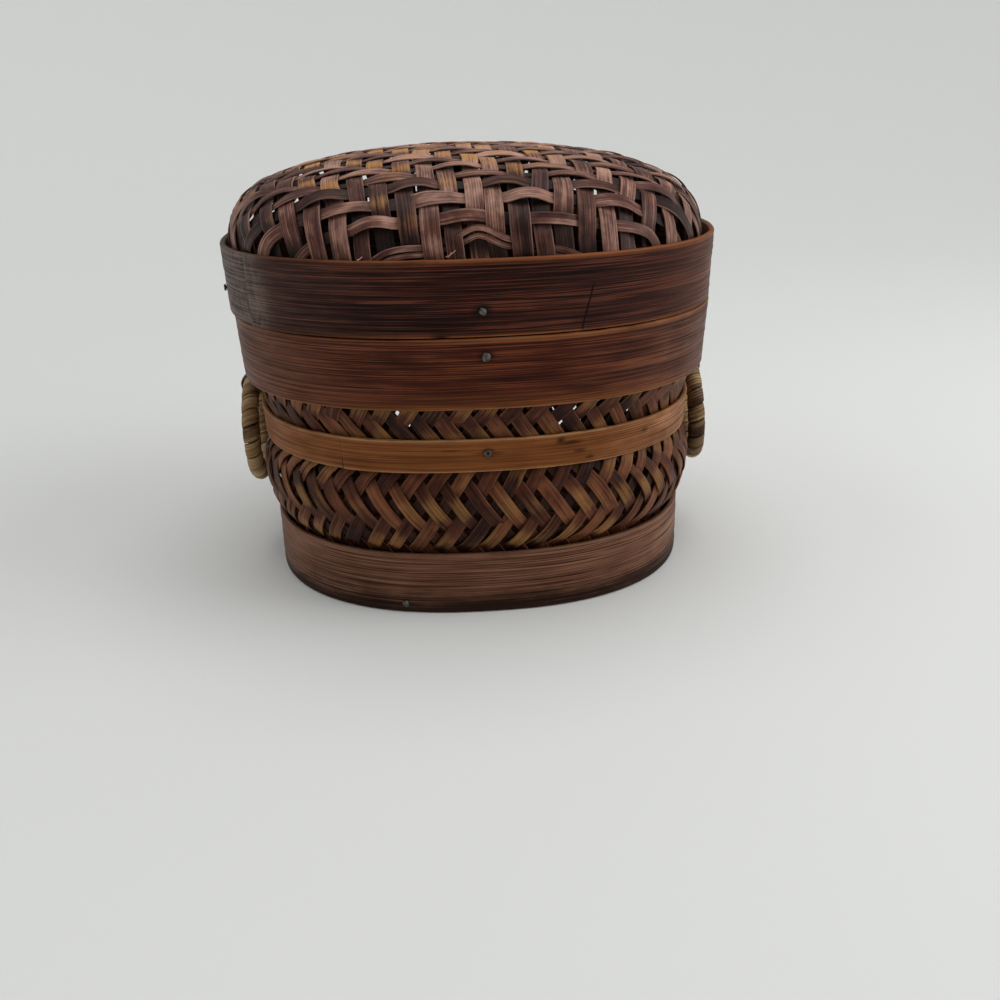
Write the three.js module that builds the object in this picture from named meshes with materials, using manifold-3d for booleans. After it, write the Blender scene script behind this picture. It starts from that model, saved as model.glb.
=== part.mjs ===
// Lidded wicker trinket box: a bias-plaited bamboo basket with bamboo hoops, a
// lift-off domed lid, and two cane-wrapped ring handles on its sides.
// Millimetres, +Z up, origin on the table under the middle of the box, front
// (the side with the nail heads in a column) towards -Y.
import * as THREE from "three";
import { mergeVertices } from "three/addons/utils/BufferGeometryUtils.js";
import Module from "manifold-3d";

const wasm = await Module();
wasm.setup();

// ---------------------------------------------------------------- dimensions
const ROUND = 2.35; // exponent of the rounded-square plan
const DEPTH = 0.93; // depth over width of the plan
const SEGMENTS = 48; // facets round the plan, the same for every nested piece

const HOOP_T = 1.8; // split-bamboo strip of the outer hoops
const WEAVE_T = 1.5; // two crossing splints
const GAP = 0.3; // air between neighbouring pieces

// half-widths (along X) of the outer faces, and heights
const FOOT = { r: 69.8, z0: 0, z1: 19.6 };
const FOOT_INNER = { r: 67.7, z0: 0.4, z1: 5.8, t: 1.8 };
const WAIST = { r0: 71.3, r1: 72.0, z0: 46.5, z1: 56.7, t: 1.5 };
const WAIST_INNER = { r: 67.4, z0: 47.4, z1: 56.0, t: 1.4 };
const RIM = { r0: 76.1, r1: 77.4, z0: 66.8, z1: 87.4 };
const COLLAR = { r: 71.9, z0: 69.5, z1: 95.5, t: 1.4 };
const LID = { r0: 77.8, r1: 78.7, z0: 87.9, z1: 108.8 };
const LID_INNER = { r: 73.95, z0: 88.2, z1: 101.0, t: 1.1 };
const LID_SHIFT = -0.6; // the lid sits to the left, within its play on the collar

// lid dome, outer face: (r/DOME.r)^p + ((z - z0)/h)^q = 1
// with a short upright skirt below it, down to z = skirt; its upper part leans to
// the left by up to lean
const DOME = {
  r: 75.75,
  z0: 94.0,
  h: 40.8,
  p: 1.79,
  q: 4.9,
  skirt: 88.6,
  lean: 1.1,
};

// outer face of the plaited body from its top edge to the base, (half-width, z)
const BODY_OUT = [
  [75.25, 86.9],
  [74.6, 77.0],
  [73.9, 67.0],
  [71.6, 61.0],
  [70.0, 57.0],
  [69.4, 51.5],
  [69.2, 46.4],
  [71.1, 44.2],
  [72.6, 40.5],
  [73.0, 35.5],
  [72.4, 29.5],
  [70.5, 24.4],
  [67.3, 19.8],
  [65.2, 12.0],
  [61.5, 8.2],
  [54.0, 6.4],
  [0, 6.4],
];

// ring handles
const RING_R = 15.45; // ring centre line
const RING_CORE = 1.55; // section radius of the bent cane core
const RING_WRAP_IN = 2.05; // the wrapping strip, inside and outside
const RING_WRAP_OUT = 2.8;
const RING_TURNS = 19;
const RING_PIVOT_Z = 58.8; // top of the ring, where its loop holds it
// Each ring hangs with its front edge nearer the wall by turn, and with its foot
// out from the wall by lean. x is its pivot, measured from the middle of the box.
const RINGS = [
  { name: "right", side: 1, x: 75.55, turn: 4.9, lean: 3.65 },
  { name: "left", side: -1, x: 75.7, turn: 0, lean: -0.35 },
];
const LOOP_IN = 3.15; // strap loop round the ring
const LOOP_OUT = 3.85;
const LOOP_W = 4.0;
const LOOP_TAIL = 0.8; // half the thickness of the doubled tail
const LOOP_REACH = 9.4; // tail length from the ring's section

// nails
const NAIL_HEAD_R = 1.25;
const NAIL_HEAD_H = 0.75;
const NAIL_R = 0.55;
const NAIL_HOLE_R = 0.85;
const NAIL_LEN = 5.0;
const NAIL_GAP = 0.15; // head over the hoop

// ------------------------------------------------------------------- helpers
// A closed mesh with only shared positions.
function clean(geometry) {
  const g = geometry.index ? geometry.toNonIndexed() : geometry.clone();
  const bare = new THREE.BufferGeometry().setAttribute(
    "position",
    g.getAttribute("position"),
  );
  const merged = mergeVertices(bare, 1e-4);
  const from = merged.index.array;
  const keep = [];
  for (let i = 0; i < from.length; i += 3) {
    const [a, b, c] = [from[i], from[i + 1], from[i + 2]];
    if (a !== b && b !== c && a !== c) keep.push(a, b, c);
  }
  merged.setIndex(keep);
  return merged;
}

function toSolid(geometry) {
  const g = clean(geometry);
  return new wasm.Manifold(
    new wasm.Mesh({
      numProp: 3,
      vertProperties: new Float32Array(g.attributes.position.array),
      triVerts: new Uint32Array(g.index.array),
    }),
  );
}

function toGeometry(solid) {
  const m = solid.getMesh();
  const v = new Float32Array(m.numVert * 3);
  for (let i = 0; i < m.numVert; i++)
    v.set(
      m.vertProperties.subarray(i * m.numProp, i * m.numProp + 3),
      i * 3,
    );
  return new THREE.BufferGeometry()
    .setAttribute("position", new THREE.BufferAttribute(v, 3))
    .setIndex(new THREE.BufferAttribute(new Uint32Array(m.triVerts), 1));
}

function cut(geometry, tools) {
  if (!tools.length) return geometry;
  let s = toSolid(geometry);
  for (const t of tools) s = s.subtract(toSolid(t));
  return toGeometry(s);
}

// point of the rounded-square plan with half-width r
function plan(r, angle) {
  const c = Math.cos(angle);
  const s = Math.sin(angle);
  return [
    r * Math.sign(c) * Math.abs(c) ** (2 / ROUND),
    DEPTH * r * Math.sign(s) * Math.abs(s) ** (2 / ROUND),
  ];
}

// A profile of (half-width, z) carried round the rounded-square plan. It
// closes on itself, or starts and ends on the axis.
function carried(profile) {
  let area = 0;
  profile.forEach(([r, z], i) => {
    const [r2, z2] = profile[(i + 1) % profile.length];
    area += r * z2 - r2 * z;
  });
  const ordered = area > 0 ? profile : [...profile].reverse();
  const g = new THREE.LatheGeometry(
    ordered.map(([r, z]) => new THREE.Vector2(r, z)),
    SEGMENTS,
  );
  g.rotateX(Math.PI / 2);
  const p = g.attributes.position;
  for (let i = 0; i < p.count; i++) {
    const r = Math.hypot(p.getX(i), p.getY(i));
    // the nearest facet's angle, so that the seam closes exactly
    const k = Math.round(
      (Math.atan2(p.getY(i), p.getX(i)) / (2 * Math.PI)) * SEGMENTS,
    );
    const [x, y] = r < 1e-6 ? [0, 0] : plan(r, (k / SEGMENTS) * 2 * Math.PI);
    p.setXY(i, x, y);
  }
  return clean(g);
}

// a hoop of strip thickness t between two heights, outer half-width r0 to r1
const hoop = (r0, r1, z0, z1, t) =>
  carried([
    [r0, z0],
    [r1, z1],
    [r1 - t, z1],
    [r0 - t, z0],
    [r0, z0],
  ]);

// a profile moved inwards by t along its own normal
function inward(profile, t) {
  return profile.map(([r, z], i) => {
    const [ra, za] = profile[Math.max(0, i - 1)];
    const [rb, zb] = profile[Math.min(profile.length - 1, i + 1)];
    const len = Math.hypot(rb - ra, zb - za);
    const nr = -(zb - za) / len;
    const nz = (rb - ra) / len;
    if (r === 0) return [0, z + Math.sign(nz) * -t];
    return [Math.max(r - nr * t, 0), z - nz * t];
  });
}

const material = (color, roughness, metalness = 0) =>
  new THREE.MeshStandardMaterial({ color, roughness, metalness });

const group = new THREE.Group();
const lid = new THREE.Group();
lid.position.x = LID_SHIFT;
group.add(lid);
function add(name, geometry, mat, parent = group) {
  geometry.computeVertexNormals();
  const mesh = new THREE.Mesh(geometry, mat);
  mesh.name = name;
  parent.add(mesh);
  return mesh;
}

// ----------------------------------------------------------------- materials
const DARK_HOOP = material(0x4a2413, 0.45);
const RIM_HOOP = material(0x5c2f17, 0.42);
const PALE_HOOP = material(0x7a4a22, 0.42);
const INNER = material(0x6b452a, 0.6);
const WEAVE = material(0x4b2f20, 0.6);
const CANE = material(0x7d6a45, 0.65);
const CORE = material(0x8a7650, 0.7);
const STEEL = material(0x6d6a66, 0.45, 0.9);

// --------------------------------------------------------------------- nails
// A nail stands on a hoop's outer face at plan angle `angle`, height z, and
// points to the middle of the box.
const nailProfile = [
  [0, -NAIL_LEN],
  [NAIL_R, -NAIL_LEN + 0.9],
  [NAIL_R, 0],
  [NAIL_HEAD_R, 0],
  [NAIL_HEAD_R, NAIL_HEAD_H * 0.4],
  [NAIL_HEAD_R * 0.6, NAIL_HEAD_H * 0.85],
  [0, NAIL_HEAD_H],
];
const nails = [];
function nail(name, hoopR, z, angle, parent = group) {
  const [x, y] = plan(hoopR, angle);
  const [xa, ya] = plan(hoopR, angle - 0.02);
  const [xb, yb] = plan(hoopR, angle + 0.02);
  const out = new THREE.Vector3(yb - ya, xa - xb, 0).normalize();
  const at = new THREE.Vector3(x, y, z).addScaledVector(out, NAIL_GAP);
  const turn = new THREE.Quaternion().setFromUnitVectors(
    new THREE.Vector3(0, 1, 0),
    out,
  );
  const tool = new THREE.CylinderGeometry(NAIL_HOLE_R, NAIL_HOLE_R, 13, 8);
  tool.applyQuaternion(turn).translate(at.x, at.y, at.z);
  nails.push({ name, at, turn, parent });
  return tool;
}
const FRONT = -Math.PI / 2;
const BACK = Math.PI / 2;
const LEFT = Math.PI;
const RIGHT = 0;
const rAt = (h, z) => h.r0 + ((h.r1 - h.r0) * (z - h.z0)) / (h.z1 - h.z0);

const lidNails = [
  ["lid_nail_front", FRONT],
  ["lid_nail_back", BACK],
  ["lid_nail_left", LEFT + 0.215],
  ["lid_nail_right", RIGHT],
].map(([n, a]) => nail(n, rAt(LID, 95.0), 95.0, a, lid));
const rimNails = [
  ["rim_nail_front", FRONT],
  ["rim_nail_back", BACK],
  ["rim_nail_left", LEFT],
  ["rim_nail_right", RIGHT],
].map(([n, a]) => nail(n, rAt(RIM, 82.2), 82.2, a));
const waistNails = [
  ["waist_nail_front", FRONT],
  ["waist_nail_back", BACK],
].map(([n, a]) => nail(n, rAt(WAIST, 52.6), 52.6, a));
const footNails = [
  ["foot_nail_front", FRONT - 0.325],
  ["foot_nail_back", BACK - 0.325],
  ["foot_nail_left", LEFT],
  ["foot_nail_right", RIGHT],
].map(([n, a]) => nail(n, FOOT.r, 3.1, a));

// ------------------------------------------------------------- ring positions
const sides = RINGS.map(({ name, side, x, turn, lean }) => {
  const frame = new THREE.Group();
  frame.position.set(side * x, 0, RING_PIVOT_Z);
  frame.rotation.z = -side * THREE.MathUtils.degToRad(turn);
  frame.updateMatrix();
  const hang = new THREE.Group();
  hang.rotation.y = -side * THREE.MathUtils.degToRad(lean);
  frame.add(hang);
  // the slot that the loop's tail passes through in the plaiting
  const slot = new THREE.BoxGeometry(
    14,
    LOOP_W + 2 * GAP,
    2 * (LOOP_TAIL + GAP),
  );
  slot
    .translate(-side * (LOOP_OUT + 6.5), 0, 0)
    .applyMatrix4(frame.matrix);
  return { name, side, frame, hang, slot };
});

// ---------------------------------------------------------------------- body
// from the middle of the base out and up the outside, then back down the inside
add(
  "body_weave",
  cut(carried([...[...BODY_OUT].reverse(), ...inward(BODY_OUT, WEAVE_T)]), [
    ...rimNails,
    ...waistNails,
    ...sides.map((s) => s.slot),
  ]),
  WEAVE,
);
const upright = (h) => hoop(h.r, h.r, h.z0, h.z1, h.t ?? HOOP_T);
const flared = (h) => hoop(h.r0, h.r1, h.z0, h.z1, h.t ?? HOOP_T);
add("foot_hoop", cut(upright(FOOT), footNails), DARK_HOOP);
add("foot_inner_hoop", cut(upright(FOOT_INNER), footNails), INNER);
add("waist_hoop", cut(flared(WAIST), waistNails), PALE_HOOP);
add("waist_inner_hoop", cut(upright(WAIST_INNER), waistNails), INNER);
add("rim_hoop", cut(flared(RIM), rimNails), RIM_HOOP);
add("rim_collar", cut(upright(COLLAR), rimNails), INNER);

// ----------------------------------------------------------------------- lid
const DOME_STEPS = 11;
const domeOut = [[DOME.r, DOME.skirt]];
const domeIn = [[DOME.r - WEAVE_T, DOME.skirt]];
for (let i = 0; i <= DOME_STEPS; i++) {
  const t = ((i / DOME_STEPS) ** 1.6 * Math.PI) / 2; // closer steps at the steep edge
  const r = i === DOME_STEPS ? 0 : Math.cos(t) ** (2 / DOME.p);
  const z = Math.sin(t) ** (2 / DOME.q);
  domeOut.push([DOME.r * r, DOME.z0 + DOME.h * z]);
  domeIn.push([(DOME.r - WEAVE_T) * r, DOME.z0 + (DOME.h - WEAVE_T) * z]);
}
// down the inside from the top to the edge, then up over the outside
const dome = carried([...[...domeIn].reverse(), ...domeOut]);
const domeAt = dome.attributes.position;
for (let i = 0; i < domeAt.count; i++) {
  const rise = THREE.MathUtils.smoothstep(domeAt.getZ(i), 102, 118);
  domeAt.setX(i, domeAt.getX(i) - DOME.lean * rise);
}
add("lid_weave", cut(dome, lidNails), WEAVE, lid);
add("lid_hoop", cut(flared(LID), lidNails), DARK_HOOP, lid);
add("lid_inner_hoop", cut(upright(LID_INNER), lidNails), INNER, lid);

// --------------------------------------------------------------------- nails
for (const n of nails) {
  const g = new THREE.LatheGeometry(
    nailProfile.map(([r, y]) => new THREE.Vector2(r, y)),
    8,
  );
  const mesh = add(n.name, clean(g), STEEL, n.parent);
  mesh.position.copy(n.at);
  mesh.quaternion.copy(n.turn);
}

// --------------------------------------------------------------------- rings
for (const { name, side, frame, hang } of sides) {
  group.add(frame);
  const centreZ = -RING_R;

  const core = new THREE.TorusGeometry(RING_R, RING_CORE, 6, 32);
  core.rotateY(Math.PI / 2).translate(0, 0, centreZ);
  add("ring_core_" + name, clean(core), CORE, hang);

  // one long flat strip wound round the core
  const per = 9;
  const pitch = (2 * Math.PI) / (RING_TURNS + 1);
  const wrap = new THREE.BoxGeometry(1, 1, 1, RING_TURNS * per, 1, 1);
  const p = wrap.attributes.position;
  for (let i = 0; i < p.count; i++) {
    const s = p.getX(i) + 0.5;
    const across = p.getY(i);
    const r = p.getZ(i) > 0 ? RING_WRAP_OUT : RING_WRAP_IN;
    const around = s * RING_TURNS * 2 * Math.PI;
    const along = Math.PI / 2 + (s * RING_TURNS + 0.5 + across * 0.93) * pitch;
    const d = RING_R + r * Math.cos(around);
    p.setXYZ(
      i,
      -r * Math.sin(around),
      d * Math.cos(along),
      centreZ + d * Math.sin(along),
    );
  }
  add("ring_wrap_" + name, clean(wrap), CANE, hang);

  // strap loop: an eye round the ring with a doubled tail into the plaiting
  const shape = new THREE.Shape();
  const open = Math.asin(LOOP_TAIL / LOOP_OUT);
  const steps = 16;
  for (let i = 0; i <= steps; i++) {
    const a = Math.PI + open + (i / steps) * (2 * Math.PI - 2 * open);
    const x = side * LOOP_OUT * Math.cos(a);
    const y = LOOP_OUT * Math.sin(a);
    if (i === 0) shape.moveTo(x, y);
    else shape.lineTo(x, y);
  }
  shape.lineTo(-side * LOOP_REACH, LOOP_TAIL);
  shape.lineTo(-side * LOOP_REACH, -LOOP_TAIL);
  shape.closePath();
  const eye = new THREE.Path();
  for (let i = 0; i < 14; i++) {
    const a = (i / 14) * 2 * Math.PI;
    const x = LOOP_IN * Math.cos(a);
    const y = LOOP_IN * Math.sin(a);
    if (i === 0) eye.moveTo(x, y);
    else eye.lineTo(x, y);
  }
  eye.closePath();
  shape.holes.push(eye);
  const loop = new THREE.ExtrudeGeometry(shape, {
    depth: LOOP_W,
    bevelEnabled: false,
    curveSegments: 1,
  });
  loop.translate(0, 0, -LOOP_W / 2).rotateX(Math.PI / 2);
  add("ring_loop_" + name, clean(loop), CORE, frame);
}

export default group;
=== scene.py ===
import math

import bpy
import numpy as np
from mathutils import Matrix


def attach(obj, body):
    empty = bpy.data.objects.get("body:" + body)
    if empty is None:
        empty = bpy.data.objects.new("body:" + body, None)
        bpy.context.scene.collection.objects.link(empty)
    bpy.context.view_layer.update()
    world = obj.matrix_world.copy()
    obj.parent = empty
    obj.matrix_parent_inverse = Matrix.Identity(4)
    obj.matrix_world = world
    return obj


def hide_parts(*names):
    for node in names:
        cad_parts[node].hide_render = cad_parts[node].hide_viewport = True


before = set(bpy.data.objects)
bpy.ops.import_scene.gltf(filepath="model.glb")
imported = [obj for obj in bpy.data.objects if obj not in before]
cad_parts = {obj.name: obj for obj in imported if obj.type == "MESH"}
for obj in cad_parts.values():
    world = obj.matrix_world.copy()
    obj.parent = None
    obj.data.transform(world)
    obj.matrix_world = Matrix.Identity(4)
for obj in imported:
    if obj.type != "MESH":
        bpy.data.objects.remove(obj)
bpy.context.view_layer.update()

MM = 0.001

# ------------------------------------------------------------ shared sizes, mm
ROUND, DEPTH = 2.35, 0.93  # plan: rounded square, depth over width
FOOT = dict(r0=69.8, r1=69.8, z0=0.0, z1=19.6, t=1.8)
FOOT_INNER = dict(r0=67.7, r1=67.7, z0=0.4, z1=5.8, t=1.8)
WAIST = dict(r0=71.3, r1=72.0, z0=46.5, z1=56.7, t=1.5)
WAIST_INNER = dict(r0=67.4, r1=67.4, z0=47.4, z1=56.0, t=1.4)
RIM = dict(r0=76.1, r1=77.4, z0=66.8, z1=87.4, t=1.8)
COLLAR = dict(r0=71.9, r1=71.9, z0=69.5, z1=95.5, t=1.4)
LID = dict(r0=77.8, r1=78.7, z0=87.9, z1=108.8, t=1.8)
LID_INNER = dict(r0=73.95, r1=73.95, z0=88.2, z1=101.0, t=1.1)
LID_SHIFT = -0.6  # the lid sits to the left, within its play on the collar
DOME = dict(r=75.0, z0=94.0, h=40.05, p=1.79, q=4.9, lean=1.1)
# outer face of the plaited body, from the top edge to the base
BODY_OUT = [
    (75.25, 86.9), (74.6, 77.0), (73.9, 67.0), (71.6, 61.0), (70.0, 57.0),
    (69.4, 51.5), (69.2, 46.4), (71.1, 44.2), (72.6, 40.5), (73.0, 35.5), (72.4, 29.5),
    (70.5, 24.4), (67.3, 19.8), (65.2, 12.0), (61.5, 8.2), (54.0, 6.4), (0.0, 6.4),
]
RING_R, RING_Z, RING_TURNS = 15.45, 58.8, 19
# side, pivot from the middle, turn and lean of each hanging ring
RINGS = {"right": (1, 75.55, math.radians(4.9), math.radians(3.65)),
         "left": (-1, 75.7, 0.0, math.radians(-0.35))}


# ---------------------------------------------------------------- the plan
def plan_unit(t):
    """Point of the plan with half-width 1 at parameter t (array)."""
    c, s = np.cos(t), np.sin(t)
    return np.stack(
        [np.sign(c) * np.abs(c) ** (2 / ROUND), DEPTH * np.sign(s) * np.abs(s) ** (2 / ROUND)], -1
    )


_fine = np.linspace(-math.pi / 2, 1.5 * math.pi, 40001)
_run = np.concatenate([[0], np.cumsum(np.hypot(*np.diff(plan_unit(_fine), axis=0).T))])
ROUND_LEN = _run[-1]  # outline length of the plan with half-width 1


def plan_at(share):
    """Plan point at a share of the outline, 0 at the front middle, growing to the right seen from the front."""
    return plan_unit(np.interp((share % 1.0) * ROUND_LEN, _run, _fine))


def plan_normal(share):
    e = 1e-4
    t = plan_at(share + e) - plan_at(share - e)
    n = np.stack([t[:, 1], -t[:, 0]], -1)
    return n / np.linalg.norm(n, axis=1)[:, None]


def plan_radius(x, y):
    return (np.abs(x) ** ROUND + np.abs(y / DEPTH) ** ROUND) ** (1 / ROUND)


def smooth_noise(rng, n, step, amp):
    """A smooth wander of n samples: random values every `step` samples, eased between."""
    k = int(n / step) + 4
    v = rng.normal(0, amp, k)
    x = np.arange(n) / step
    i = x.astype(int)
    f = x - i
    f = f * f * (3 - 2 * f)
    return v[i] * (1 - f) + v[i + 1] * f


def ease(x, lo, hi):
    t = np.clip((x - lo) / (hi - lo), 0, 1)
    return t * t * (3 - 2 * t)


# ---------------------------------------------------------- strip geometry
def add_attr(me, name, kind, values):
    a = me.attributes.new(name, kind, "POINT")
    key = "vector" if kind == "FLOAT_VECTOR" else "value"
    a.data.foreach_set(key, np.asarray(values, np.float32).ravel())


def outward(v, quads):
    """Quads turned so that the closed body they make has a positive volume."""
    a, b, c, d = (v[quads[:, i]] for i in range(4))
    vol = (a * np.cross(b, c)).sum() + (a * np.cross(c, d)).sum()
    return quads if vol > 0 else quads[:, ::-1]


def place(me, name, material, body, nodes=()):
    me.validate()
    me.update()
    ob = bpy.data.objects.new(name, me)
    bpy.context.scene.collection.objects.link(ob)
    me.materials.append(material)
    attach(ob, body)
    if nodes:
        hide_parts(*nodes)
    return ob


class Strips:
    """Many solid strips gathered into one mesh. Each carries its own tone, the way along and across
    it in mm, how far it lies over (1) or under (-1) its neighbours, and how worn it is."""

    SECTION = [(-1.0, 0.15), (-0.975, 0.43), (-0.925, 0.5), (-0.8, 0.5), (0.0, 0.5), (0.8, 0.5), (0.925, 0.5), (0.975, 0.43), (1.0, 0.15),
               (1.0, -0.35), (0.9, -0.5), (0.0, -0.5), (-0.9, -0.5), (-1.0, -0.35)]
    RIM = [0.9, 1.0, 0.45, 0.0, 0.0, 0.0, 0.45, 1.0, 0.9, 0.5, 0.1, 0.0, 0.1, 0.5]

    def __init__(self):
        self.v, self.f, self.sv, self.uv = [], [], [], []
        self.tone, self.lift, self.worn, self.rim = [], [], [], []
        self.boxes = []
        self.n = 0

    def add(self, P, N, half, thick, bow, tone, lift, seed, worn=0.0, twist=None):
        P, N = np.asarray(P, float), np.asarray(N, float)
        n = len(P)
        T = np.gradient(P, axis=0)
        T /= np.linalg.norm(T, axis=1)[:, None] + 1e-12
        W = np.cross(N, T)
        W /= np.linalg.norm(W, axis=1)[:, None] + 1e-12
        N = np.cross(T, W)
        if twist is not None:
            c, s = np.cos(twist)[:, None], np.sin(twist)[:, None]
            W, N = W * c + N * s, N * c - W * s
        spread = lambda a: np.broadcast_to(np.asarray(a, float), (n,))
        half = spread(half)
        sec = np.array(self.SECTION)
        K = len(sec)
        across = sec[None, :, 0] * half[:, None]
        up = sec[None, :, 1] * thick + bow * (1 - sec[None, :, 0] ** 2)
        verts = (P[:, None] + W[:, None] * across[..., None] + N[:, None] * up[..., None]).reshape(-1, 3)
        length = np.concatenate([[0], np.cumsum(np.linalg.norm(np.diff(P, axis=0), axis=1))])
        sv = np.stack([np.repeat(length[:, None], K, 1), across + seed * 37.0, np.full((n, K), seed * 11.0)], -1)
        self.sv.append(sv.reshape(-1, 3))
        for store, a in ((self.tone, tone), (self.lift, lift), (self.worn, worn)):
            store.append(np.repeat(spread(a), K))
        self.rim.append(np.tile(np.array(self.RIM), n))
        idx = np.arange(n * K).reshape(n, K)
        a, b = idx[:-1], idx[1:]
        quads = np.stack([a, np.roll(a, -1, 1), np.roll(b, -1, 1), b], -1).reshape(-1, 4)
        caps = []
        for row, flip in ((idx[0], False), (idx[-1], True)):
            for k in range(K // 2 - 1):
                q = [row[k], row[K - 1 - k], row[K - 2 - k], row[k + 1]]
                caps.append(q if not flip else q[::-1])
        faces = np.concatenate([quads, np.array(caps)])
        turned = outward(verts, faces)
        self.v.append(verts)
        self.f.append(turned + self.n)
        # unrolled place of each face corner, packed later
        girth = np.concatenate([[0], np.cumsum(np.hypot(np.diff(np.r_[sec[:, 0], sec[0, 0]]) * half.mean(),
                                                        np.diff(np.r_[sec[:, 1], sec[0, 1]]) * thick))])
        m = n - 1
        l0, l1, g0, g1 = length[:m], length[1:], girth[:K], girth[1:K + 1]
        u = np.stack([np.repeat(l0[:, None], K, 1)] * 2 + [np.repeat(l1[:, None], K, 1)] * 2, -1)
        w = np.broadcast_to(np.stack([g0, g1, g1, g0], -1)[None], (m, K, 4))
        cu = np.zeros((len(caps), 4, 2))
        cu[..., 0] = length[-1] + 0.4 + np.array([0, 0, .3, .3])
        cu[..., 1] = np.arange(len(caps))[:, None] * 0.5 + np.array([0, .4, .4, 0])
        uv = np.concatenate([np.stack([u, w], -1).reshape(-1, 4, 2), cu])
        self.uv.append(uv if turned is faces else uv[:, ::-1])
        self.boxes.append((length[-1] + 1.2, max(girth[-1], len(caps) * 0.5) + 0.3, len(faces)))
        self.n += n * K

    def packed_uv(self):
        """Each strip gets its own rectangle of the map, in shelves."""
        sizes = np.array([(b[0], b[1]) for b in self.boxes])
        order = np.argsort(-sizes[:, 0])
        side = math.sqrt((sizes[:, 0] * sizes[:, 1]).sum())
        pad = 0.35
        while True:
            spot, x, y, row = {}, 0.0, 0.0, 0.0
            fits = sizes[:, 0].max() + pad <= side
            for i in order:
                w, h = sizes[i] + pad
                if x + w > side:
                    x, y, row = 0.0, y + row, 0.0
                spot[i] = (x, y)
                x += w
                row = max(row, h)
            if fits and y + row <= side:
                break
            side *= 1.03
        return np.concatenate([(u.reshape(-1, 2) + np.array(spot[i]) + pad / 2) / side for i, u in enumerate(self.uv)])

    def make(self, name, material, body, nodes=(), slot=None):
        me = bpy.data.meshes.new(name)
        f = np.concatenate(self.f)
        me.from_pydata((np.concatenate(self.v) * MM).tolist(), [], f.tolist())
        me.polygons.foreach_set("use_smooth", np.ones(len(f), bool))
        for key in ("tone", "lift", "worn", "rim"):
            add_attr(me, key, "FLOAT", np.concatenate(getattr(self, key)))
        add_attr(me, "sv", "FLOAT_VECTOR", np.concatenate(self.sv))
        layer = me.uv_layers.new(name="OFBake")
        layer.data.foreach_set("uv", self.packed_uv().astype(np.float32).ravel())
        return place(me, name, material, body, nodes)


# ------------------------------------------------------------------ materials
class Nodes:
    def __init__(self, name):
        self.m = bpy.data.materials.new(name)
        self.m.use_nodes = True
        self.t = self.m.node_tree
        self.t.nodes.clear()
        self.out = self.new("ShaderNodeOutputMaterial")
        self.bsdf = self.new("ShaderNodeBsdfPrincipled")
        self.link(self.bsdf.outputs[0], self.out.inputs[0])

    def new(self, kind, **values):
        n = self.t.nodes.new(kind)
        for k, v in values.items():
            setattr(n, k, v)
        return n

    def link(self, a, b):
        self.t.links.new(a, b)

    def attr(self, name, vector=False):
        n = self.new("ShaderNodeAttribute", attribute_name=name)
        return n.outputs["Vector" if vector else "Fac"]

    def math(self, op, a, b=None, clamp=False):
        n = self.new("ShaderNodeMath", operation=op, use_clamp=clamp)
        for i, x in enumerate((a, b)):
            if x is None:
                continue
            if isinstance(x, (int, float)):
                n.inputs[i].default_value = x
            else:
                self.link(x, n.inputs[i])
        return n.outputs[0]

    def total(self, base, *parts):
        """base plus weight * (value - middle) of each part."""
        for value, weight, middle in parts:
            base = self.math("ADD", base, self.math("MULTIPLY", self.math("SUBTRACT", value, middle), weight))
        return base

    def times(self, *values):
        out = values[0]
        for v in values[1:]:
            out = self.math("MULTIPLY", out, v)
        return out

    def scaled(self, vector, scale, move=(0, 0, 0)):
        n = self.new("ShaderNodeMapping")
        n.inputs["Scale"].default_value = scale
        n.inputs["Location"].default_value = move
        self.link(vector, n.inputs["Vector"])
        return n.outputs[0]

    def noise(self, vector, detail=3.0, rough=0.55, distort=0.0, scale=1.0):
        n = self.new("ShaderNodeTexNoise")
        n.inputs["Scale"].default_value = scale
        n.inputs["Detail"].default_value = detail
        n.inputs["Roughness"].default_value = rough
        n.inputs["Distortion"].default_value = distort
        self.link(vector, n.inputs["Vector"])
        return n.outputs["Fac"]

    def ramp(self, fac, stops):
        n = self.new("ShaderNodeValToRGB")
        e = n.color_ramp.elements
        while len(e) < len(stops):
            e.new(0.5)
        for s, (pos, col) in zip(e, stops):
            s.position = pos
            s.color = (*col, 1.0)
        self.link(fac, n.inputs[0])
        return n.outputs[0]

    def span(self, x, lo, hi, to_lo=0.0, to_hi=1.0):
        n = self.new("ShaderNodeMapRange")
        n.clamp = True
        for k, v in (("From Min", lo), ("From Max", hi), ("To Min", to_lo), ("To Max", to_hi)):
            n.inputs[k].default_value = v
        self.link(x, n.inputs["Value"])
        return n.outputs[0]

    def mix(self, fac, a, b, kind="MIX"):
        n = self.new("ShaderNodeMix", data_type="RGBA", blend_type=kind)
        n.clamp_factor = True
        for i, x in ((0, fac), (6, a), (7, b)):
            if isinstance(x, (int, float)):
                n.inputs[i].default_value = x
            elif isinstance(x, tuple):
                n.inputs[i].default_value = (*x, 1.0)
            else:
                self.link(x, n.inputs[i])
        return n.outputs[2]

    def bump(self, height, strength, distance):
        n = self.new("ShaderNodeBump")
        n.inputs["Strength"].default_value = strength
        n.inputs["Distance"].default_value = distance
        self.link(height, n.inputs["Height"])
        self.link(n.outputs[0], self.bsdf.inputs["Normal"])


def srgb(r, g, b):
    """Linear colour of an 8-bit screen colour."""
    return tuple(((c / 255) / 12.92 if c <= 10 else (((c / 255) + 0.055) / 1.055) ** 2.4) for c in (r, g, b))


def shade(c, k):
    return tuple(x * k for x in c)


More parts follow.
